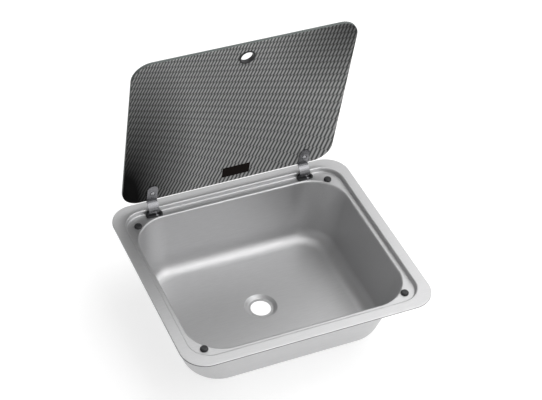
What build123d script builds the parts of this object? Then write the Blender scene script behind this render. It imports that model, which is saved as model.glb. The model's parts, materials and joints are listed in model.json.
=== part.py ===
"""Drop-in camper sink: pressed steel bowl with a hinged glass lid on two swan-neck arms.

Everything is built about the centre of the rim's top plane, with X to the right, Y to the back and
Z up, and moved at the end so that the origin is the middle of the drain hole, on its lower face.
The lid's pieces are built closed and then swung open about the hinge axis.
"""

from build123d import *
from math import asin, cos, degrees, hypot, radians, sin, sqrt
import os

# ---- sheet and rim ------------------------------------------------------------------------------
SHEET = 0.8  # steel thickness everywhere in the pressing
BEND = 2.2  # inside radius of its small bends
RIM_WIDTH = 418.0
RIM_DEPTH = 370.0
RIM_CORNER = 40.0
RIM_EDGE = 1.3  # outside radius where the rim turns down
RIM_LIP = 1.8  # height of the turned-down edge, from the rim's top to its foot
SIDE_FLANGE = 19.0  # width of the flat rim beside the step
END_FLANGE = 20.0  # and before and behind it
STEP_CORNER = 34.0
STEP_HEIGHT = 8.5  # from the rim's top down to the ledge that the lid lies over

# ---- bowl ---------------------------------------------------------------------------------------
LEDGE_SIDE = 8.5  # step wall to the mouth
LEDGE_FRONT = 11.0
LEDGE_REAR = 15.0
MOUTH_CORNER = 60.0
BOWL_DEPTH = 131.0  # rim's top to the floor
SIDE_DRAFT = 15.0  # how far each side wall leans in on its way down
FRONT_DRAFT = 39.0
BACK_DRAFT = 1.5
FLOOR_CORNER = 58.0
FLOOR_FILLET = 25.0
DRAIN_FROM_REAR = 168.7  # rim's back edge to the drain's centre
RECESS_RADIUS = 27.0  # shallow dish round the drain, for the waste's flange
SEAT_RADIUS = 21.3  # its flat bottom
RECESS_DEPTH = 5.0
RECESS_BEND = 1.5
DRAIN_RADIUS = 17.0

# ---- buffers that the lid lands on --------------------------------------------------------------
BUFFER_RADIUS = 6.4
BUFFER_ROUND = 3.0
BUFFER_SIDE_INSET = 40.5  # from the rim's edge to the buffer's centre
BUFFER_BACK_INSET = 44.0
BUFFER_FRONT_INSET = 41.2
BUFFER_NECK = 2.5
BUFFER_BARB = 3.6
BUFFER_BARB_HEIGHT = 2.4
LANDING_GAP = 0.2  # buffer top to the closed glass

# ---- lid ----------------------------------------------------------------------------------------
GLASS = 5.0
GLASS_CORNER = 32.0
GLASS_EDGE = 0.6
GLASS_ABOVE_RIM = 0.8  # closed lid's top face over the rim's top
LID_SIDE_GAP = 4.5  # closed lid to the step wall
LID_FRONT_GAP = 1.4
LID_BACK_GAP = 6.6
OPEN_ANGLE = 80.75  # from closed to the open stop
FINGER_HOLE_INSET = 29.0  # lid's front edge to the hole's centre
FINGER_BORE = 10.5
GROMMET_WALL = 1.0
GROMMET_LIP = 13.4
GROMMET_LIP_HEIGHT = 1.0
GROMMET_ROUND = 0.6
LABEL_WIDTH = 48.0
LABEL_HEIGHT = 23.0
LABEL_THICKNESS = 0.4
LABEL_CORNER = 1.0
LABEL_OFFSET = 11.0  # to the right of the middle
LABEL_INSET = 25.5  # lid's back edge to the label's middle

# ---- hinge arm ----------------------------------------------------------------------------------
HINGE_INSET = 51.0  # lid's side to the middle of each hinge
AXIS_BEHIND_STEP = 10.2  # step wall to the hinge axis, under the rim
AXIS_BELOW_RIM = 4.3
ARM = 1.5  # thickness of the arm's steel
ARM_WIDTH = 18.0
ARM_SWEEP = 17.3  # outer radius of the swan neck about the axis
LEAF_LENGTH = 36.5  # along the glass
DISH_RADIUS = 4.8  # pressed seat round the leaf's screw
DISH_DEPTH = 0.9
WEB_ANGLE = 195.0  # direction from the axis to the arm's foot when the lid is open
TAIL_ANGLE = 3.0  # how far the neck runs on past the web
NECK_LAP = 1.0  # degrees that the neck runs into the leaf
EYE_WALL = 1.55
PIN_RADIUS = 1.5
PAD = 0.5  # rubber between leaf and glass
PAD_MARGIN = 0.8
SCREW_INSET = 18.2  # lid's back edge to the leaf's screw

# ---- hinge pocket under the rim -----------------------------------------------------------------
POCKET_WALL = 1.5
CHEEK = 2.4
BEZEL_WIDTH = 28.0
BEZEL_THICKNESS = 1.7
BEZEL_RAIL = 3.3  # height of its two rails beside the arm
BEZEL_CORNER = 4.0
BEZEL_ROUND = 1.2
BEZEL_MARGIN = 3.0  # mouth edge to the bezel's front edge
POCKET_SCREW_X = 4.0
POCKET_SCREW_RADIUS = 1.25
POCKET_SCREW_HEAD = 1.9
POCKET_SCREW_LENGTH = 9.0
BOSS_WALL = 0.9
WASHER_THICKNESS = 0.5
WASHER_WALL = 1.4

# ---- lid fastening ------------------------------------------------------------------------------
BOLT_RADIUS = 2.0
BOLT_HEAD_RADIUS = 3.4
BOLT_HEAD_HEIGHT = 1.5
BUSH_WALL = 1.6
NUT_RADIUS = 8.0
NUT_HEIGHT = 3.0
NUT_CROWN = 1.2
NUT_SKIN = 1.0  # metal left over the bolt's tip
NUT_PAD_RADIUS = 7.4
SLOT_WIDTH = 0.8  # cross slot in the screw heads
SLOT_DEPTH = 0.7
SLOT_SHARE = 0.7  # how far the cross reaches, as a share of the head's radius

# ---- clearances ---------------------------------------------------------------------------------
HOLE_GAP = 0.3  # neck, bush or shank in its hole
SWING_GAP = 0.5  # moving arm to its pocket
RUNNING_GAP = 0.05  # pin in the arm's eye
GRIP_GAP = 0.02  # pin in the pocket's cheeks
FACE_GAP = 0.05  # between washer faces
STOP_GAP = 0.1  # arm to its open stop
SHEET_GAP = 0.3  # pocket to the pressing beside it
CUT_OVER = 1.0  # how far a cut runs past a face
LEVEL = 0.001  # how closely an edge must lie at a height to be picked there

# ---- places worked out from the sizes above -----------------------------------------------------
RIM_FRONT = -RIM_DEPTH / 2
RIM_BACK = RIM_DEPTH / 2
STEP_WIDTH = RIM_WIDTH - 2 * SIDE_FLANGE
STEP_FRONT = RIM_FRONT + END_FLANGE
STEP_BACK = RIM_BACK - END_FLANGE
LEDGE = -STEP_HEIGHT
LEDGE_UNDER = LEDGE - SHEET
MOUTH_WIDTH = STEP_WIDTH - 2 * LEDGE_SIDE
MOUTH_FRONT = STEP_FRONT + LEDGE_FRONT
MOUTH_BACK = STEP_BACK - LEDGE_REAR
FLOOR = -BOWL_DEPTH
DRAIN_Y = RIM_BACK - DRAIN_FROM_REAR
RECESS_FLOOR = FLOOR - RECESS_DEPTH
RECESS_SPREAD = (RECESS_RADIUS - SEAT_RADIUS) / RECESS_DEPTH

LID_TOP = GLASS_ABOVE_RIM
LID_UNDER = LID_TOP - GLASS
LID_WIDTH = STEP_WIDTH - 2 * LID_SIDE_GAP
LID_FRONT = STEP_FRONT + LID_FRONT_GAP
LID_BACK = STEP_BACK - LID_BACK_GAP
FINGER_Y = LID_FRONT + FINGER_HOLE_INSET
HINGE_X = LID_WIDTH / 2 - HINGE_INSET

AXIS_Y = STEP_BACK + AXIS_BEHIND_STEP
AXIS_Z = -AXIS_BELOW_RIM
LEAF_TOP = LID_UNDER - PAD
LEAF_UNDER = LEAF_TOP - ARM
ARM_INNER = ARM_SWEEP - ARM
EYE_BORE = PIN_RADIUS + RUNNING_GAP
EYE_RADIUS = EYE_BORE + EYE_WALL
SLOT_HALF = ARM_WIDTH / 2 + WASHER_THICKNESS + 2 * FACE_GAP
POCKET_SWEEP = ARM_SWEEP + SWING_GAP
POCKET_FRONT = AXIS_Y - POCKET_SWEEP
POCKET_REAR = AXIS_Y + EYE_RADIUS + SWING_GAP
POCKET_FLOOR = AXIS_Z - POCKET_SWEEP
BEZEL_FRONT = MOUTH_BACK + BEZEL_MARGIN
BEZEL_BACK = STEP_BACK - SHEET_GAP
BEZEL_TOP = LEDGE + BEZEL_THICKNESS
RAIL_TOP = LEDGE + BEZEL_RAIL
POCKET_SCREW_Y = (BEZEL_FRONT + POCKET_FRONT) / 2
SCREW_Y = LID_BACK - SCREW_INSET


def rounded_block(width, front, back, corner, low, high):
    """Upright block with rounded corners between two heights."""
    outline = RectangleRounded(width, back - front, corner)
    return Pos(0, (front + back) / 2, low) * extrude(outline, high - low)


def disc(radius, low, high):
    """Upright cylinder between two heights."""
    return Pos(0, 0, low) * Cylinder(radius, high - low, align=(Align.CENTER, Align.CENTER, Align.MIN))


def cone(low_radius, high_radius, height):
    """Upright cone that stands on its own origin."""
    return Cone(low_radius, high_radius, height, align=(Align.CENTER, Align.CENTER, Align.MIN))


def box(x_low, x_high, y_low, y_high, z_low, z_high):
    """Box between two opposite corners."""
    size = Box(x_high - x_low, y_high - y_low, z_high - z_low, align=(Align.MIN,) * 3)
    return Pos(x_low, y_low, z_low) * size


def edges_at(shape, height, half_width=RIM_WIDTH, front=-RIM_DEPTH, back=RIM_DEPTH):
    """Edges that lie level at this height, within the given limits."""
    found = []
    for edge in shape.edges():
        span = edge.bounding_box()
        level = abs(span.min.Z - height) < LEVEL and abs(span.max.Z - height) < LEVEL
        beside = max(-span.min.X, span.max.X) < half_width + LEVEL
        if level and beside and span.min.Y > front - LEVEL and span.max.Y < back + LEVEL:
            found.append(edge)
    return found


def step_limits(offset):
    """Half width, front and back of the step in the rim."""
    return STEP_WIDTH / 2 + offset, STEP_FRONT - offset, STEP_BACK + offset


def mouth_limits(offset):
    """Half width, front and back of the bowl's mouth."""
    return MOUTH_WIDTH / 2 + offset, MOUTH_FRONT - offset, MOUTH_BACK + offset


def bowl_shape(offset):
    """The bowl as a solid: its inside for offset 0, its outside for offset SHEET."""
    low = FLOOR - offset
    depth = LEDGE - FLOOR
    outlines = []
    for height, share, corner in ((LEDGE, 0.0, MOUTH_CORNER), (low, (LEDGE - low) / depth, FLOOR_CORNER)):
        width = MOUTH_WIDTH - 2 * SIDE_DRAFT * share + 2 * offset
        front = MOUTH_FRONT + FRONT_DRAFT * share - offset
        back = MOUTH_BACK - BACK_DRAFT * share + offset
        outline = RectangleRounded(width, back - front, corner + offset)
        outlines.append(Pos(0, (front + back) / 2, height) * outline)
    body = loft(outlines, ruled=True)
    body = fillet(edges_at(body, low), FLOOR_FILLET + offset)
    seat = SEAT_RADIUS + offset * (hypot(1, RECESS_SPREAD) - RECESS_SPREAD)
    height = RECESS_DEPTH + offset + CUT_OVER
    recess = Pos(0, 0, RECESS_FLOOR - offset) * cone(seat, seat + height * RECESS_SPREAD, height)
    recess = fillet(edges_at(recess, RECESS_FLOOR - offset), RECESS_BEND + offset)
    return body + Pos(0, DRAIN_Y, 0) * recess


def step_shape(offset, top):
    """The step that the lid lies in, as a solid up to the given height."""
    block = rounded_block(STEP_WIDTH + 2 * offset, STEP_FRONT - offset, STEP_BACK + offset,
                          STEP_CORNER + offset, LEDGE - offset, top)
    return fillet(edges_at(block, LEDGE - offset), BEND + offset)


def make_rim():
    """Flat rim with its outer edge turned down all round."""
    rim = rounded_block(RIM_WIDTH, RIM_FRONT, RIM_BACK, RIM_CORNER, -RIM_LIP, 0)
    rim = fillet(edges_at(rim, 0), RIM_EDGE)
    under = rounded_block(RIM_WIDTH - 2 * SHEET, RIM_FRONT + SHEET, RIM_BACK - SHEET, RIM_CORNER - SHEET,
                          -RIM_LIP - CUT_OVER, -SHEET)
    return rim - fillet(edges_at(under, -SHEET), RIM_EDGE - SHEET)


def make_bowl():
    """Rim, step, ledge, bowl and drain seat: one pressing."""
    outside = make_rim() + step_shape(SHEET, 0)
    outside = fillet(edges_at(outside, -SHEET, *step_limits(SHEET)), BEND)
    outside += bowl_shape(SHEET)
    outside = fillet(edges_at(outside, LEDGE_UNDER, *mouth_limits(2 * SHEET)), BEND)
    inside = step_shape(0, CUT_OVER) + bowl_shape(0)
    steel = outside - inside
    steel = fillet(edges_at(steel, 0, *step_limits(0)), BEND + SHEET)
    steel = fillet(edges_at(steel, LEDGE, *mouth_limits(0)), BEND + SHEET)
    steel = fillet(edges_at(steel, FLOOR, RECESS_RADIUS), RECESS_BEND)
    steel -= Pos(0, DRAIN_Y, 0) * disc(DRAIN_RADIUS, RECESS_FLOOR - SHEET - CUT_OVER, FLOOR)
    for x, y in BUFFER_PLACES.values():
        steel -= Pos(x, y, 0) * disc(BUFFER_NECK + HOLE_GAP, LEDGE_UNDER - CUT_OVER, LEDGE + CUT_OVER)
    for x in HINGE_PLACES.values():
        steel -= Pos(x, 0, 0) * box(-SLOT_HALF, SLOT_HALF, POCKET_FRONT, STEP_BACK + BEND + SHEET,
                                    LEDGE_UNDER - CUT_OVER - BEND, AXIS_Z + SWING_GAP)
        steel -= Pos(x + POCKET_SCREW_X, POCKET_SCREW_Y, 0) * disc(
            POCKET_SCREW_RADIUS + HOLE_GAP, LEDGE_UNDER - CUT_OVER, LEDGE + CUT_OVER)
    return steel


def make_buffer():
    """Rubber button: a dome on the ledge, a neck through it and a barb under it."""
    dome = disc(BUFFER_RADIUS, LEDGE, LID_UNDER - LANDING_GAP)
    dome = fillet(edges_at(dome, LID_UNDER - LANDING_GAP), BUFFER_ROUND)
    neck = disc(BUFFER_NECK, LEDGE_UNDER, LEDGE)
    barb = Pos(0, 0, LEDGE_UNDER - BUFFER_BARB_HEIGHT) * cone(BUFFER_NECK, BUFFER_BARB, BUFFER_BARB_HEIGHT)
    return dome + neck + barb


def ring_part(inner, outer, start, end, width):
    """Part of a tube about the hinge axis, between two angles from +Y towards +Z."""
    reach = 2 * outer
    middle = radians((start + end) / 2)
    wedge = make_face(Polyline((0, 0), (reach * cos(radians(start)), reach * sin(radians(start))),
                               (reach * cos(middle), reach * sin(middle)),
                               (reach * cos(radians(end)), reach * sin(radians(end))), close=True))
    ring = Circle(outer) - Circle(inner) if inner else Circle(outer)
    return across(ring & wedge, width)


def across(section, width):
    """A section drawn in (Y, Z) about the hinge axis, made this wide along X and put on the axis."""
    solid = extrude(section, width / 2, both=True)
    return Pos(0, AXIS_Y, AXIS_Z) * (Plane.YZ * solid)


def spoke(angle, start, end, thickness, width):
    """Flat plate that runs outwards from the hinge axis at an angle from +Y towards +Z."""
    plate = Pos((start + end) / 2, 0) * Rectangle(end - start, thickness)
    return across(Rot(0, 0, angle) * plate, width)


def make_arm():
    """Swan-neck arm, closed: eye on the pin, web, curved neck and the leaf under the glass."""
    closed_web = WEB_ANGLE + OPEN_ANGLE
    neck_start = 180 + degrees(asin((AXIS_Z - LEAF_UNDER) / ARM_SWEEP)) - NECK_LAP
    arm = across(Circle(EYE_RADIUS), ARM_WIDTH)
    arm += spoke(closed_web, EYE_BORE, ARM_SWEEP - ARM / 2, ARM, ARM_WIDTH)
    arm += ring_part(ARM_INNER, ARM_SWEEP, neck_start, closed_web + TAIL_ANGLE, ARM_WIDTH)
    leaf_front = LID_BACK - LEAF_LENGTH
    leaf_back = AXIS_Y - sqrt(ARM_INNER ** 2 - (LEAF_UNDER - AXIS_Z) ** 2)
    leaf = box(-ARM_WIDTH / 2, ARM_WIDTH / 2, leaf_front + ARM_WIDTH / 2, leaf_back, LEAF_UNDER, LEAF_TOP)
    leaf += Pos(0, leaf_front + ARM_WIDTH / 2, 0) * disc(ARM_WIDTH / 2, LEAF_UNDER, LEAF_TOP)
    leaf -= Pos(0, SCREW_Y, 0) * disc(DISH_RADIUS, LEAF_UNDER - CUT_OVER, LEAF_UNDER + DISH_DEPTH)
    leaf -= Pos(0, SCREW_Y, 0) * disc(BOLT_RADIUS + HOLE_GAP, LEAF_UNDER - CUT_OVER, LEAF_TOP + CUT_OVER)
    arm += leaf
    return arm - across(Circle(EYE_BORE), ARM_WIDTH + CUT_OVER)


def make_pocket():
    """Moulded pocket under the ledge and the rim: it takes the arm's foot and holds the pin."""
    half = SLOT_HALF + CHEEK
    front = POCKET_FRONT - POCKET_WALL
    rear = POCKET_REAR + POCKET_WALL
    body = box(-half, half, front, rear, POCKET_FLOOR - POCKET_WALL, LEDGE_UNDER)
    behind_step = STEP_BACK + SHEET + BEND + SHEET_GAP
    body -= box(-half - CUT_OVER, half + CUT_OVER, STEP_BACK - BEND - SHEET, behind_step,
                LEDGE_UNDER - BEND - SHEET_GAP, LEDGE_UNDER + CUT_OVER)
    body += box(-half, half, behind_step, rear, LEDGE_UNDER - BEND, -SHEET - SHEET_GAP)
    boss = disc(POCKET_SCREW_RADIUS + BOSS_WALL, LEDGE_UNDER - POCKET_SCREW_LENGTH, LEDGE_UNDER)
    body += Pos(POCKET_SCREW_X, POCKET_SCREW_Y, 0) * boss
    tip = BEZEL_TOP - POCKET_SCREW_LENGTH
    body -= Pos(POCKET_SCREW_X, POCKET_SCREW_Y, 0) * disc(POCKET_SCREW_RADIUS, tip, LEDGE_UNDER + CUT_OVER)
    closed_web = WEB_ANGLE + OPEN_ANGLE
    width = 2 * SLOT_HALF
    room = across(Circle(EYE_RADIUS + SWING_GAP), width)
    room += spoke(WEB_ANGLE, 0, POCKET_SWEEP, ARM + 2 * STOP_GAP, width)
    room += spoke(closed_web, 0, POCKET_SWEEP, ARM + 2 * SWING_GAP, width)
    room += ring_part(0, POCKET_SWEEP, WEB_ANGLE, closed_web, width)
    room += ring_part(ARM_INNER - SWING_GAP, POCKET_SWEEP, 180, closed_web + 2 * TAIL_ANGLE, width)
    body -= room
    body -= box(-SLOT_HALF, SLOT_HALF, POCKET_FRONT, behind_step + CUT_OVER, LEDGE_UNDER - BEND - CUT_OVER, 0)
    return body - across(Circle(PIN_RADIUS + GRIP_GAP), 2 * half + CUT_OVER)


def make_bezel():
    """Black frame on the ledge round the arm's slot: a low bar in front and a rail on each side."""
    frame = rounded_block(BEZEL_WIDTH, BEZEL_FRONT, BEZEL_BACK, BEZEL_CORNER, LEDGE, RAIL_TOP)
    frame = fillet(edges_at(frame, RAIL_TOP), BEZEL_ROUND)
    frame &= Pos(0, -SHEET_GAP, 0) * step_shape(0, CUT_OVER)
    frame -= box(-SLOT_HALF, SLOT_HALF, BEZEL_FRONT - CUT_OVER, STEP_BACK, BEZEL_TOP, RAIL_TOP + CUT_OVER)
    frame -= box(-SLOT_HALF, SLOT_HALF, POCKET_FRONT, STEP_BACK, LEDGE - CUT_OVER, RAIL_TOP + CUT_OVER)
    return frame - Pos(POCKET_SCREW_X, POCKET_SCREW_Y, 0) * countersunk(HOLE_GAP)


def countersunk(gap):
    """Countersunk screw in the bezel, or the hole for it when gap is not zero."""
    sink = POCKET_SCREW_HEAD - POCKET_SCREW_RADIUS
    head = Pos(0, 0, BEZEL_TOP - sink) * cone(POCKET_SCREW_RADIUS + gap, POCKET_SCREW_HEAD + gap, sink)
    return head + disc(POCKET_SCREW_RADIUS + gap, BEZEL_TOP - POCKET_SCREW_LENGTH, BEZEL_TOP - sink)


def cross_slot(radius, low, high):
    """The cross cut into a screw's head."""
    arm = Box(2 * radius, SLOT_WIDTH, high - low, align=(Align.CENTER, Align.CENTER, Align.MIN))
    return Pos(0, 0, low) * (arm + Rot(0, 0, 90) * arm)


def make_pocket_screw():
    """Screw that clamps bezel, ledge and pocket together."""
    screw = countersunk(0)
    screw -= cross_slot(POCKET_SCREW_HEAD * SLOT_SHARE, BEZEL_TOP - SLOT_DEPTH / 2, BEZEL_TOP + CUT_OVER)
    return screw


def make_washers():
    """Two thin washers that take up the play beside the arm's eye."""
    ring = Circle(EYE_BORE + WASHER_WALL) - Circle(EYE_BORE)
    one = across(ring, WASHER_THICKNESS)
    shift = ARM_WIDTH / 2 + FACE_GAP + WASHER_THICKNESS / 2
    return [Pos(-shift, 0, 0) * one, Pos(shift, 0, 0) * one]


def make_glass():
    """Toughened glass plate with the finger hole and two bolt holes."""
    plate = rounded_block(LID_WIDTH, LID_FRONT, LID_BACK, GLASS_CORNER, LID_UNDER, LID_TOP)
    plate = chamfer(edges_at(plate, LID_TOP) + edges_at(plate, LID_UNDER), GLASS_EDGE)
    plate -= Pos(0, FINGER_Y, 0) * disc(FINGER_BORE + GROMMET_WALL + HOLE_GAP,
                                        LID_UNDER - CUT_OVER, LID_TOP + CUT_OVER)
    for x in HINGE_PLACES.values():
        plate -= Pos(x, SCREW_Y, 0) * disc(BOLT_RADIUS + 2 * HOLE_GAP + BUSH_WALL,
                                           LID_UNDER - CUT_OVER, LID_TOP + CUT_OVER)
    return plate


def make_grommet():
    """Rubber ring that lines the finger hole and grips both faces of the glass."""
    top = LID_TOP + GROMMET_LIP_HEIGHT
    bottom = LID_UNDER - GROMMET_LIP_HEIGHT
    ring = disc(FINGER_BORE + GROMMET_WALL, LID_UNDER, LID_TOP)
    ring += disc(GROMMET_LIP, LID_TOP, top)
    ring += disc(GROMMET_LIP, bottom, LID_UNDER)
    ring -= disc(FINGER_BORE, bottom - CUT_OVER, top + CUT_OVER)
    return fillet(edges_at(ring, top) + edges_at(ring, bottom), GROMMET_ROUND)


def make_label():
    """Thin plate on the underside of the glass, left plain."""
    outline = RectangleRounded(LABEL_WIDTH, LABEL_HEIGHT, LABEL_CORNER)
    plate = extrude(outline, LABEL_THICKNESS)
    return Pos(LABEL_OFFSET, LID_BACK - LABEL_INSET, LID_UNDER - LABEL_THICKNESS) * plate


def make_pad():
    """Rubber pad between the leaf and the glass."""
    width = ARM_WIDTH - 2 * PAD_MARGIN
    front = LID_BACK - LEAF_LENGTH + PAD_MARGIN
    pad = box(-width / 2, width / 2, front + width / 2, LID_BACK - PAD_MARGIN, LEAF_TOP, LID_UNDER)
    pad += Pos(0, front + width / 2, 0) * disc(width / 2, LEAF_TOP, LID_UNDER)
    hole = disc(BOLT_RADIUS + HOLE_GAP, LEAF_TOP - CUT_OVER, LID_UNDER + CUT_OVER)
    return pad - Pos(0, SCREW_Y, 0) * hole


def make_bush():
    """Plastic sleeve that keeps the bolt off the glass."""
    sleeve = disc(BOLT_RADIUS + HOLE_GAP + BUSH_WALL, LID_UNDER, LID_TOP)
    return sleeve - disc(BOLT_RADIUS + HOLE_GAP, LID_UNDER - CUT_OVER, LID_TOP + CUT_OVER)


def make_bolt():
    """Cross-slot screw from the leaf through the glass into the cap nut."""
    seat = LEAF_UNDER + DISH_DEPTH
    head = disc(BOLT_HEAD_RADIUS, seat - BOLT_HEAD_HEIGHT, seat)
    head = fillet(edges_at(head, seat - BOLT_HEAD_HEIGHT), BOLT_HEAD_HEIGHT / 2)
    head -= cross_slot(BOLT_HEAD_RADIUS * SLOT_SHARE, seat - BOLT_HEAD_HEIGHT - CUT_OVER,
                       seat - BOLT_HEAD_HEIGHT + SLOT_DEPTH)
    return head + disc(BOLT_RADIUS, seat, LID_TOP + PAD + NUT_HEIGHT - NUT_SKIN)


def make_cap_nut():
    """Round cap nut on the lid's upper face."""
    low = LID_TOP + PAD
    nut = disc(NUT_RADIUS, low, low + NUT_HEIGHT)
    nut = fillet(edges_at(nut, low + NUT_HEIGHT), NUT_CROWN)
    return nut - disc(BOLT_RADIUS, low - CUT_OVER, low + NUT_HEIGHT - NUT_SKIN)


def make_nut_pad():
    """Rubber washer between the cap nut and the glass."""
    washer = disc(NUT_PAD_RADIUS, LID_TOP, LID_TOP + PAD)
    return washer - disc(BOLT_RADIUS + HOLE_GAP, LID_TOP - CUT_OVER, LID_TOP + PAD + CUT_OVER)


BUFFER_PLACES = {
    "back_left": (BUFFER_SIDE_INSET - RIM_WIDTH / 2, RIM_BACK - BUFFER_BACK_INSET),
    "back_right": (RIM_WIDTH / 2 - BUFFER_SIDE_INSET, RIM_BACK - BUFFER_BACK_INSET),
    "front_left": (BUFFER_SIDE_INSET - RIM_WIDTH / 2, RIM_FRONT + BUFFER_FRONT_INSET),
    "front_right": (RIM_WIDTH / 2 - BUFFER_SIDE_INSET, RIM_FRONT + BUFFER_FRONT_INSET),
}
HINGE_PLACES = {"left": -HINGE_X, "right": HINGE_X}

TO_DRAIN = Pos(0, -DRAIN_Y, SHEET - RECESS_FLOOR)
SWING_OPEN = Pos(0, AXIS_Y, AXIS_Z) * Rot(-OPEN_ANGLE, 0, 0) * Pos(0, -AXIS_Y, -AXIS_Z)


def save(name, solids):
    """Write one node: a solid, or a group of separate ones."""
    solids = solids if isinstance(solids, list) else [solids]
    pieces = [TO_DRAIN * s for s in solids]
    shape = pieces[0] if len(pieces) == 1 else Compound(children=pieces)
    export_step(shape, f"parts/{name}.step")


def main():
    os.makedirs("parts", exist_ok=True)
    save("sink_bowl", make_bowl())
    button = make_buffer()
    for place, (x, y) in BUFFER_PLACES.items():
        save(f"lid_buffer_{place}", Pos(x, y, 0) * button)

    fixed = {
        "hinge_pocket": make_pocket(),
        "hinge_bezel": make_bezel(),
        "hinge_pin": across(Circle(PIN_RADIUS), 2 * (SLOT_HALF + CHEEK)),
        "pocket_screw": make_pocket_screw(),
    }
    swinging = {
        "hinge_arm": make_arm(),
        "leaf_pad": make_pad(),
        "bolt_bush": Pos(0, SCREW_Y, 0) * make_bush(),
        "leaf_bolt": Pos(0, SCREW_Y, 0) * make_bolt(),
        "cap_nut": Pos(0, SCREW_Y, 0) * make_cap_nut(),
        "nut_pad": Pos(0, SCREW_Y, 0) * make_nut_pad(),
    }
    fixed["pocket_screw"] = Pos(POCKET_SCREW_X, POCKET_SCREW_Y, 0) * fixed["pocket_screw"]
    for side, x in HINGE_PLACES.items():
        for name, solid in fixed.items():
            save(f"{name}_{side}", Pos(x, 0, 0) * solid)
        save(f"eye_washers_{side}", [Pos(x, 0, 0) * w for w in make_washers()])
        for name, solid in swinging.items():
            save(f"{name}_{side}", SWING_OPEN * Pos(x, 0, 0) * solid)

    save("glass_lid", SWING_OPEN * make_glass())
    save("finger_hole_grommet", SWING_OPEN * Pos(0, FINGER_Y, 0) * make_grommet())
    save("label_plate", SWING_OPEN * make_label())


main()
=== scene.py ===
"""Looks of the drop-in camper sink with its hinged glass lid, on a white studio floor."""

import bpy
import json
from math import cos, radians, sin
from mathutils import Matrix, Vector


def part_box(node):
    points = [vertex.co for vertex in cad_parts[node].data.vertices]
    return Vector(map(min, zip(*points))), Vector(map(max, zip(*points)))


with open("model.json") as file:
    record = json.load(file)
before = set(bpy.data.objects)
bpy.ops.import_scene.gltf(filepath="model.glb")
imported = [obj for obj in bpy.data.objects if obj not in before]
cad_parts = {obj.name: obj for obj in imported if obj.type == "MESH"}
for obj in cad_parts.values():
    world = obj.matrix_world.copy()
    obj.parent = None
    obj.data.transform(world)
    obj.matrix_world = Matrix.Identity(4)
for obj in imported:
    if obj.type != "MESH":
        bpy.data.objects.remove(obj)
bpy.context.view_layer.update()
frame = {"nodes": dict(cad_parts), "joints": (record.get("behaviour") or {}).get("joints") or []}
bpy.ops.object.select_all(action="DESELECT")
nodes = frame["nodes"]


# ---- Studio -------------------------------------------------------------------------------------
# A white floor that runs on to the horizon and large soft lights, the strongest on the right. The
# floor glows more further out, where the lights don't reach, and keeps the shadow near the sink.
# The camera stands at the front left and looks down on the sink from about 2.6 m.

RIM_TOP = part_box("sink_bowl")[1][2]
RIM_CENTRE_Y = (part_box("sink_bowl")[0][1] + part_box("sink_bowl")[1][1]) / 2
CAMERA_TURN = radians(-26.52)
CAMERA_HEIGHT = radians(41.95)
CAMERA_ROLL = radians(4.39)
CAMERA_DISTANCE = 2.5578
CAMERA_ASIDE = -0.00253
CAMERA_UP = -0.08721
LENS = 107.37
SENSOR = 36.0
FLOOR_SIZE = 14
FLOOR_TONE = 0.5
FLOOR_ROUGH = 0.9
FLOOR_GLOSS = 0.1
FLOOR_GLOW = (0.65, 0.87)
FLOOR_FADE = (0.9, 3.0)
WORLD_LIGHT = 0.3
WALL_TONE = 1.0
CEILING_TONE = 0.22
CEILING_FROM = (0.08, 0.42)
WHITE = (1, 1, 1, 1)
LAMP_AIM = (0, 0, 0.1)


def place_camera():
    outward = Vector((sin(CAMERA_TURN) * cos(CAMERA_HEIGHT), -cos(CAMERA_TURN) * cos(CAMERA_HEIGHT),
                      sin(CAMERA_HEIGHT)))
    right = (-outward).cross(Vector((0, 0, 1))).normalized()
    up = right.cross(-outward)
    rolled_right = right * cos(CAMERA_ROLL) + up * sin(CAMERA_ROLL)
    rolled_up = up * cos(CAMERA_ROLL) - right * sin(CAMERA_ROLL)
    target = Vector((0, RIM_CENTRE_Y, RIM_TOP))
    place = target - rolled_right * CAMERA_ASIDE - rolled_up * CAMERA_UP + outward * CAMERA_DISTANCE
    data = bpy.data.cameras.new("camera")
    data.sensor_width = SENSOR
    data.lens = LENS
    camera = bpy.data.objects.new("camera", data)
    bpy.context.scene.collection.objects.link(camera)
    turn = Matrix((rolled_right, rolled_up, outward)).transposed()
    camera.matrix_world = Matrix.Translation(place) @ turn.to_4x4()
    bpy.context.scene.camera = camera


def new_material(name):
    material = bpy.data.materials.new(name)
    material.use_nodes = True
    return material, material.node_tree.nodes, material.node_tree.links


def add_soft_light(name, place, size, power):
    """A square light that points at the sink."""
    data = bpy.data.lights.new(name, "AREA")
    data.shape = "RECTANGLE"
    data.size, data.size_y = size, size
    data.energy = power
    light = bpy.data.objects.new(name, data)
    bpy.context.scene.collection.objects.link(light)
    light.location = place
    light.rotation_euler = (Vector(LAMP_AIM) - Vector(place)).to_track_quat("-Z", "Y").to_euler()


def seen_rays(shader, link):
    """1 for the rays that show the background: from the camera, off a shiny face or through glass."""
    rays = shader.new("ShaderNodeLightPath")
    seen = rays.outputs["Is Camera Ray"]
    for kind in ("Is Transmission Ray", "Is Glossy Ray"):
        either = shader.new("ShaderNodeMath")
        either.operation = "MAXIMUM"
        link.new(seen, either.inputs[0])
        link.new(rays.outputs[kind], either.inputs[1])
        seen = either.outputs[0]
    return seen


def ramp(shader, link, value, low, high, out_low, out_high):
    """Maps a value from one range to another, clamped."""
    node = shader.new("ShaderNodeMapRange")
    node.inputs["From Min"].default_value = low
    node.inputs["From Max"].default_value = high
    node.inputs["To Min"].default_value = out_low
    node.inputs["To Max"].default_value = out_high
    link.new(value, node.inputs["Value"])
    return node.outputs["Result"]


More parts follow.
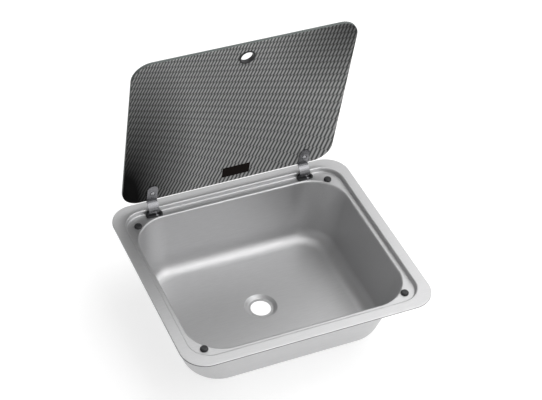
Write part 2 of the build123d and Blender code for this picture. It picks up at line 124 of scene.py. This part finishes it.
def calc(shader, link, operation, a, b=None):
    """One Math node; a number stands for a fixed input."""
    node = shader.new("ShaderNodeMath")
    node.operation = operation
    for socket, value in zip(node.inputs, (a, b)):
        if value is None:
            continue
        if isinstance(value, (int, float)):
            socket.default_value = value
        else:
            link.new(value, socket)
    return node.outputs[0]


def make_floor():
    bpy.ops.mesh.primitive_plane_add(size=FLOOR_SIZE, location=(0, 0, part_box("sink_bowl")[0][2]))
    floor = bpy.context.object
    floor.name = "floor"
    material, shader, link = new_material("floor_white")
    paint = shader["Principled BSDF"]
    paint.inputs["Roughness"].default_value = FLOOR_ROUGH
    paint.inputs["Specular IOR Level"].default_value = FLOOR_GLOSS
    paint.inputs["Base Color"].default_value = (FLOOR_TONE, FLOOR_TONE, FLOOR_TONE, 1)
    paint.inputs["Emission Color"].default_value = WHITE
    spot = shader.new("ShaderNodeTexCoord")
    away = shader.new("ShaderNodeVectorMath")
    away.operation = "LENGTH"
    link.new(spot.outputs["Object"], away.inputs[0])
    glow = ramp(shader, link, away.outputs["Value"], *FLOOR_FADE, *FLOOR_GLOW)
    glow = calc(shader, link, "MULTIPLY", seen_rays(shader, link), glow)
    link.new(glow, paint.inputs["Emission Strength"])
    floor.data.materials.append(material)
    bpy.ops.object.select_all(action="DESELECT")


def light_world():
    """Even light on dull faces; the camera and shiny faces see white walls and a dim ceiling."""
    world = bpy.data.worlds.new("studio")
    bpy.context.scene.world = world
    world.use_nodes = True
    shader, link = world.node_tree.nodes, world.node_tree.links
    shader.clear()
    lit = shader.new("ShaderNodeBackground")
    lit.inputs["Color"].default_value = WHITE
    lit.inputs["Strength"].default_value = WORLD_LIGHT
    room = shader.new("ShaderNodeBackground")
    room.inputs["Color"].default_value = WHITE
    way = shader.new("ShaderNodeTexCoord")
    height = shader.new("ShaderNodeSeparateXYZ")
    link.new(way.outputs["Generated"], height.inputs[0])
    strength = ramp(shader, link, height.outputs["Z"], *CEILING_FROM, WALL_TONE, CEILING_TONE)
    strength.node.interpolation_type = "SMOOTHSTEP"
    link.new(strength, room.inputs["Strength"])
    mix = shader.new("ShaderNodeMixShader")
    out = shader.new("ShaderNodeOutputWorld")
    link.new(seen_rays(shader, link), mix.inputs[0])
    link.new(lit.outputs[0], mix.inputs[1])
    link.new(room.outputs[0], mix.inputs[2])
    link.new(mix.outputs[0], out.inputs["Surface"])


place_camera()
make_floor()
light_world()
for name, place, size, power in (("overhead", (0.66, -0.44, 2.05), 2.6, 9),
                                 ("right", (1.1, 0, 1.91), 2.6, 32),
                                 ("rear", (0, 0.57, 2.13), 2.6, 11),
                                 ("front", (0.73, -1.43, 1.5), 1.4, 8)):
    add_soft_light(name, place, size, power)
bpy.context.scene.view_settings.view_transform = "Standard"


# ---- Sink bowl ----------------------------------------------------------------------------------
# One stainless steel sheet, pressed into rim, step and bowl. The pressing keeps the sheet's fine
# satin grain. The cut, turned-down outer edge is painted darker than the flats, a painted shade.

STEEL = (0.62, 0.62, 0.625, 1)
# Tone of the painted shade on the rim's turned-down outer edge.
STEEL_EDGE_PAINTED_SHADE = (0.12, 0.12, 0.125, 1)
STEEL_ROUGH = 0.50
STEEL_GRAIN = 900
STEEL_STRETCH = 0.06
STEEL_SHADE = 0.95
STEEL_ROUGH_SPREAD = 0.03
STEEL_RELIEF = (0.03, 0.0002)
EDGE_CORNER = 0.040
EDGE_BAND = (0.0004, 0.0009)
GRAIN_DETAIL = 3
GRAIN_SWING = (0.3, 0.7)


def make_grain_group():
    """Fine grain: a value round 0.5 that changes over the surface, drawn out along one axis."""
    group = bpy.data.node_groups.new("fine_grain", "ShaderNodeTree")
    group.interface.new_socket("Vector", in_out="INPUT", socket_type="NodeSocketVector")
    for name in ("Scale", "Stretch"):
        group.interface.new_socket(name, in_out="INPUT", socket_type="NodeSocketFloat")
    group.interface.new_socket("Value", in_out="OUTPUT", socket_type="NodeSocketFloat")
    shader, link = group.nodes, group.links
    given = shader.new("NodeGroupInput")
    given_out = shader.new("NodeGroupOutput")
    squeeze = shader.new("ShaderNodeCombineXYZ")
    link.new(given.outputs["Stretch"], squeeze.inputs[0])
    squeeze.inputs[1].default_value = 1
    squeeze.inputs[2].default_value = 1
    scaled = shader.new("ShaderNodeVectorMath")
    scaled.operation = "MULTIPLY"
    link.new(given.outputs["Vector"], scaled.inputs[0])
    link.new(squeeze.outputs[0], scaled.inputs[1])
    noise = shader.new("ShaderNodeTexNoise")
    noise.inputs["Detail"].default_value = GRAIN_DETAIL
    link.new(scaled.outputs[0], noise.inputs["Vector"])
    link.new(given.outputs["Scale"], noise.inputs["Scale"])
    link.new(noise.outputs["Fac"], given_out.inputs["Value"])
    return group


GRAIN = make_grain_group()


def add_grain(shader, link, scale, stretch=1):
    """Places the grain group on the object's own coordinates; a stretch of 1 is an even grain."""
    place = shader.new("ShaderNodeTexCoord")
    grain = shader.new("ShaderNodeGroup")
    grain.node_tree = GRAIN
    grain.inputs["Scale"].default_value = scale
    grain.inputs["Stretch"].default_value = stretch
    link.new(place.outputs["Object"], grain.inputs["Vector"])
    return place, grain.outputs["Value"]


def over_grain(shader, link, grain, low, high):
    """Spreads the grain's usual values from low to high."""
    return ramp(shader, link, grain, *GRAIN_SWING, low, high)


def mixed(shader, link, share, a, b):
    """A colour between two; each may be a fixed colour or another node's."""
    node = shader.new("ShaderNodeMix")
    node.data_type = "RGBA"
    link.new(share, node.inputs["Factor"])
    for socket, value in zip((node.inputs["A"], node.inputs["B"]), (a, b)):
        if isinstance(value, tuple):
            socket.default_value = value
        else:
            link.new(value, socket)
    return node.outputs["Result"]


def bump(shader, link, height, strength, distance):
    node = shader.new("ShaderNodeBump")
    node.inputs["Strength"].default_value = strength
    node.inputs["Distance"].default_value = distance
    link.new(height, node.inputs["Height"])
    return node.outputs["Normal"]


def give(name, material):
    """Puts the material on a carried-over piece."""
    piece = nodes[name]
    piece.data.materials.clear()
    piece.data.materials.append(material)


def length(shader, link, a, b):
    """The length of a flat vector with sides a and b."""
    return calc(shader, link, "SQRT", calc(shader, link, "ADD",
                                           calc(shader, link, "MULTIPLY", a, a),
                                           calc(shader, link, "MULTIPLY", b, b)))


def edge_shade_mask(shader, link, place):
    """Mask for the painted shade: 1 on the turned-down edge of the rim, 0 elsewhere."""
    low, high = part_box("sink_bowl")
    split = shader.new("ShaderNodeSeparateXYZ")
    link.new(place.outputs["Object"], split.inputs[0])
    x, y, z = split.outputs
    past = []
    for value, a, b in ((x, low[0], high[0]), (y, low[1], high[1])):
        off = calc(shader, link, "ABSOLUTE", calc(shader, link, "SUBTRACT", value, (a + b) / 2))
        past.append(calc(shader, link, "SUBTRACT", off, (b - a) / 2 - EDGE_CORNER))
    corner = [calc(shader, link, "MAXIMUM", value, 0.0) for value in past]
    at_rim = calc(shader, link, "GREATER_THAN", length(shader, link, *corner),
                  EDGE_CORNER - EDGE_BAND[1])
    down = ramp(shader, link, z, RIM_TOP - EDGE_BAND[1], RIM_TOP - EDGE_BAND[0], 1, 0)
    return calc(shader, link, "MULTIPLY", at_rim, down)


def satin_steel(name, tone, rough, edge=None):
    """Steel with a drawn-out grain, and with a painted shade on the rim's outer edge if given."""
    material, shader, link = new_material(name)
    paint = shader["Principled BSDF"]
    place, grain = add_grain(shader, link, STEEL_GRAIN, STEEL_STRETCH)
    paint.inputs["Metallic"].default_value = 1
    shade = tuple(c * STEEL_SHADE for c in tone[:3]) + (1,)
    colour = mixed(shader, link, over_grain(shader, link, grain, 0, 1), tone, shade)
    # Painted shade on the rim's outer edge.
    if edge:
        colour = mixed(shader, link, edge_shade_mask(shader, link, place), colour, edge)
    link.new(colour, paint.inputs["Base Color"])
    link.new(over_grain(shader, link, grain, rough - STEEL_ROUGH_SPREAD, rough + STEEL_ROUGH_SPREAD),
             paint.inputs["Roughness"])
    link.new(bump(shader, link, grain, *STEEL_RELIEF), paint.inputs["Normal"])
    return material


give("sink_bowl", satin_steel("bowl_steel", STEEL, STEEL_ROUGH, STEEL_EDGE_PAINTED_SHADE))


# ---- Rubber pieces ------------------------------------------------------------------------------
# Moulded black rubber: the four buffers, pushed through the ledge by their necks, the ring round
# the finger hole, and the pads that keep the arms and the nuts off the glass.

RUBBER = (0.02, 0.02, 0.022, 1)
RUBBER_GRAIN = 600
RUBBER_ROUGH = (0.42, 0.6)
RUBBER_RELIEF = (0.15, 0.0002)


def even_finish(name, tone, grain_scale, rough, relief=None, metal=0, gloss=0.5):
    """A finish of one tone whose roughness, and relief if given, follow an even grain."""
    material, shader, link = new_material(name)
    paint = shader["Principled BSDF"]
    grain = add_grain(shader, link, grain_scale)[1]
    paint.inputs["Base Color"].default_value = tone
    paint.inputs["Metallic"].default_value = metal
    paint.inputs["Specular IOR Level"].default_value = gloss
    link.new(over_grain(shader, link, grain, *rough), paint.inputs["Roughness"])
    if relief:
        link.new(bump(shader, link, grain, *relief), paint.inputs["Normal"])
    return material


rubber = even_finish("black_rubber", RUBBER, RUBBER_GRAIN, RUBBER_ROUGH, RUBBER_RELIEF)
for place in ("front_left", "front_right", "back_left", "back_right"):
    give(f"lid_buffer_{place}", rubber)
give("finger_hole_grommet", rubber)
for side in ("left", "right"):
    give(f"leaf_pad_{side}", rubber)
    give(f"nut_pad_{side}", rubber)


# ---- Hinge pockets ------------------------------------------------------------------------------
# Moulded black plastic with a faint spark-eroded texture. The pocket hangs under the ledge and
# takes the arm's foot; its frame lies on the ledge round the arm's slot.

PLASTIC = (0.016, 0.016, 0.018, 1)
PLASTIC_GRAIN = 1500
PLASTIC_ROUGH = (0.3, 0.42)
PLASTIC_RELIEF = (0.1, 0.0001)

plastic = even_finish("black_plastic", PLASTIC, PLASTIC_GRAIN, PLASTIC_ROUGH, PLASTIC_RELIEF)
for side in ("left", "right"):
    give(f"hinge_pocket_{side}", plastic)
    give(f"hinge_bezel_{side}", plastic)


# ---- Pins, screws and nuts ----------------------------------------------------------------------
# Steel with a bright plating. The washers beside the arms' eyes and the bushes in the glass are
# natural nylon.

PLATED = (0.52, 0.52, 0.53, 1)
PLATED_GRAIN = 1200
PLATED_ROUGH = (0.14, 0.24)
NYLON = (0.78, 0.77, 0.73, 1)
NYLON_GRAIN = 800
NYLON_ROUGH = (0.4, 0.5)

bright_steel = even_finish("bright_steel", PLATED, PLATED_GRAIN, PLATED_ROUGH, metal=1)
nylon = even_finish("natural_nylon", NYLON, NYLON_GRAIN, NYLON_ROUGH)
for side in ("left", "right"):
    for name in ("hinge_pin", "pocket_screw", "leaf_bolt", "cap_nut"):
        give(f"{name}_{side}", bright_steel)
    for name in ("eye_washers", "bolt_bush"):
        give(f"{name}_{side}", nylon)


# ---- Hinge arms ---------------------------------------------------------------------------------
# Strip steel bent to a swan neck, with a flat leaf on the glass and an eye round the hinge pin.
# It is glossier than the bowl and painted darker: the darker tone is a painted reflection.

# Tone painted dark, a painted reflection of the dark parts the arm mirrors.
ARM_STEEL_PAINTED_DARK = (0.24, 0.24, 0.25, 1)
ARM_ROUGH = 0.27

arm_steel = satin_steel("arm_steel", ARM_STEEL_PAINTED_DARK, ARM_ROUGH)
for side in ("left", "right"):
    give(f"hinge_arm_{side}", arm_steel)


# ---- Glass lid ----------------------------------------------------------------------------------
# A 5 mm toughened plate, printed dark with rows of slanting silver strokes that read as a weave.
# A painted shade darkens the print to black in the corner by the left hinge, and less deeply in
# the top right corner. The ground edge stays bare, a dull green.

LID_JOINT = frame["joints"][0]
LID_OPEN = radians(LID_JOINT["range_deg"][1])
LID_PIVOT = Vector(LID_JOINT["pos_m"])
MIDDLE_ROW = 0.150
ACROSS_STROKES = (160.0, -37.0)
ALONG_ROWS = (22.8, 59.0)
X_STRETCH = (-0.5, 0.75)
H_STRETCH = (-0.6, 1.6)
STROKE_LEAN = 0.25
STROKE_EDGE = (0.12, 0.40)
ROW_EDGE = 0.30
ROW_GAP = (0.85, 0.45)
ROW_GAP_RISE = (0.04, 0.20)
PRINT_DARK = (0.10, 0.105, 0.102, 1)
PRINT_SILVER = (0.59, 0.59, 0.59, 1)
# Black of the painted shade in the lid's corners.
PAINTED_SHADE_BLACK = (0.001, 0.001, 0.001, 1)
GROUND_EDGE = (0.13, 0.145, 0.14, 1)
EDGE_GROUND = 0.0003
# Where the painted shade in the lid's corners falls, how far it reaches and how dark it gets.
HINGE_CORNER = (-0.185, 0.0)
HINGE_FADE = (0.128, 0.370)
HINGE_SHADE = (0.20, 0.98, 0)
FREE_CORNER = (0.185, 0.322)
FREE_FADE = (0.150, 0.150)
FREE_SHADE = (0.0, 1.0, 0.22)
LID_GLOSS = 0.03
LID_ROUGH = 0.32


def lid_box():
    """Corners of the shut lid."""
    turn = Matrix.Rotation(LID_OPEN, 3, "X")
    spots = [turn @ (v.co - LID_PIVOT) + LID_PIVOT for v in nodes["glass_lid"].data.vertices]
    low = Vector([min(p[i] for p in spots) for i in range(3)])
    high = Vector([max(p[i] for p in spots) for i in range(3)])
    return low, high


def lid_coordinates(shader, link):
    """Where a point of the open lid lies when the lid is shut."""
    place = shader.new("ShaderNodeTexCoord")
    shut = shader.new("ShaderNodeMapping")
    turn = Matrix.Rotation(LID_OPEN, 3, "X")
    shut.inputs["Location"].default_value = LID_PIVOT - turn @ LID_PIVOT
    shut.inputs["Rotation"].default_value = (LID_OPEN, 0, 0)
    link.new(place.outputs["Object"], shut.inputs["Vector"])
    split = shader.new("ShaderNodeSeparateXYZ")
    link.new(shut.outputs["Vector"], split.inputs[0])
    return split.outputs


def weave_strokes(shader, link, x, h, rise):
    """Share of silver. On the open lid, h is the height above the middle row, and rise that above
    the edge at the hinges."""

    def stretched(value, share_x, share_h):
        grown = calc(shader, link, "ADD", calc(shader, link, "MULTIPLY", x, share_x),
                     calc(shader, link, "MULTIPLY", h, share_h))
        return calc(shader, link, "MULTIPLY", value, calc(shader, link, "ADD", grown, 1.0))

    wide = stretched(x, *X_STRETCH)
    high = stretched(h, *H_STRETCH)
    row = calc(shader, link, "ADD", calc(shader, link, "MULTIPLY", wide, ALONG_ROWS[0]),
               calc(shader, link, "MULTIPLY", high, ALONG_ROWS[1]))
    in_row = calc(shader, link, "FRACT", row)
    stroke = calc(shader, link, "ADD", calc(shader, link, "MULTIPLY", wide, ACROSS_STROKES[0]),
                  calc(shader, link, "MULTIPLY", h, ACROSS_STROKES[1]))
    leaning = calc(shader, link, "SUBTRACT", stroke, calc(shader, link, "MULTIPLY", in_row, STROKE_LEAN))
    across = ramp(shader, link, calc(shader, link, "PINGPONG", leaning, 0.5), *STROKE_EDGE, 0, 1)
    row_gap = ramp(shader, link, rise, *ROW_GAP_RISE, *ROW_GAP)
    row_fill = calc(shader, link, "SUBTRACT", 1.0, row_gap)
    swell = ramp(shader, link, calc(shader, link, "PINGPONG", in_row, 0.5), 0.0, ROW_EDGE, 0, 1)
    swell = calc(shader, link, "MULTIPLY", swell, row_fill)
    return calc(shader, link, "MULTIPLY", across, calc(shader, link, "ADD", row_gap, swell))


def corner_shade(shader, link, x, rise, corner, reach, low, high, darkest):
    """Painted shade: grows from the darkest tone at a corner of the lid to 1 away from it."""
    aside = calc(shader, link, "DIVIDE", calc(shader, link, "SUBTRACT", x, corner[0]), reach[0])
    up = calc(shader, link, "DIVIDE", calc(shader, link, "SUBTRACT", rise, corner[1]), reach[1])
    return ramp(shader, link, length(shader, link, aside, up), low, high, darkest, 1)


def printed_glass():
    material, shader, link = new_material("printed_glass")
    paint = shader["Principled BSDF"]
    x, y, z = lid_coordinates(shader, link)
    box_low, box_high = lid_box()
    h = calc(shader, link, "SUBTRACT", box_high.y - MIDDLE_ROW, y)
    rise = calc(shader, link, "SUBTRACT", box_high.y, y)
    weave = mixed(shader, link, weave_strokes(shader, link, x, h, rise), PRINT_DARK, PRINT_SILVER)
    # Painted shade towards two corners of the lid, mixed over the weave.
    tone = calc(shader, link, "MULTIPLY",
                corner_shade(shader, link, x, rise, HINGE_CORNER, HINGE_FADE, *HINGE_SHADE),
                corner_shade(shader, link, x, rise, FREE_CORNER, FREE_FADE, *FREE_SHADE))
    weave = mixed(shader, link, tone, PAINTED_SHADE_BLACK, weave)
    above = calc(shader, link, "GREATER_THAN", z, box_low.z + EDGE_GROUND)
    below = calc(shader, link, "LESS_THAN", z, box_high.z - EDGE_GROUND)
    edge = calc(shader, link, "MULTIPLY", above, below)
    link.new(mixed(shader, link, edge, weave, GROUND_EDGE), paint.inputs["Base Color"])
    paint.inputs["Roughness"].default_value = LID_ROUGH
    paint.inputs["Specular IOR Level"].default_value = LID_GLOSS
    return material


give("glass_lid", printed_glass())


# ---- Label plate --------------------------------------------------------------------------------
# A thin dark plate stuck on the inner face of the glass between the hinges, matt and left plain.
# It is almost black, with a touch of brown.

LABEL = (0.0085, 0.0055, 0.0045, 1)
LABEL_GRAIN = 1000
LABEL_ROUGH = (0.5, 0.6)
LABEL_GLOSS = 0.05

give("label_plate", even_finish("label_dark", LABEL, LABEL_GRAIN, LABEL_ROUGH, gloss=LABEL_GLOSS))
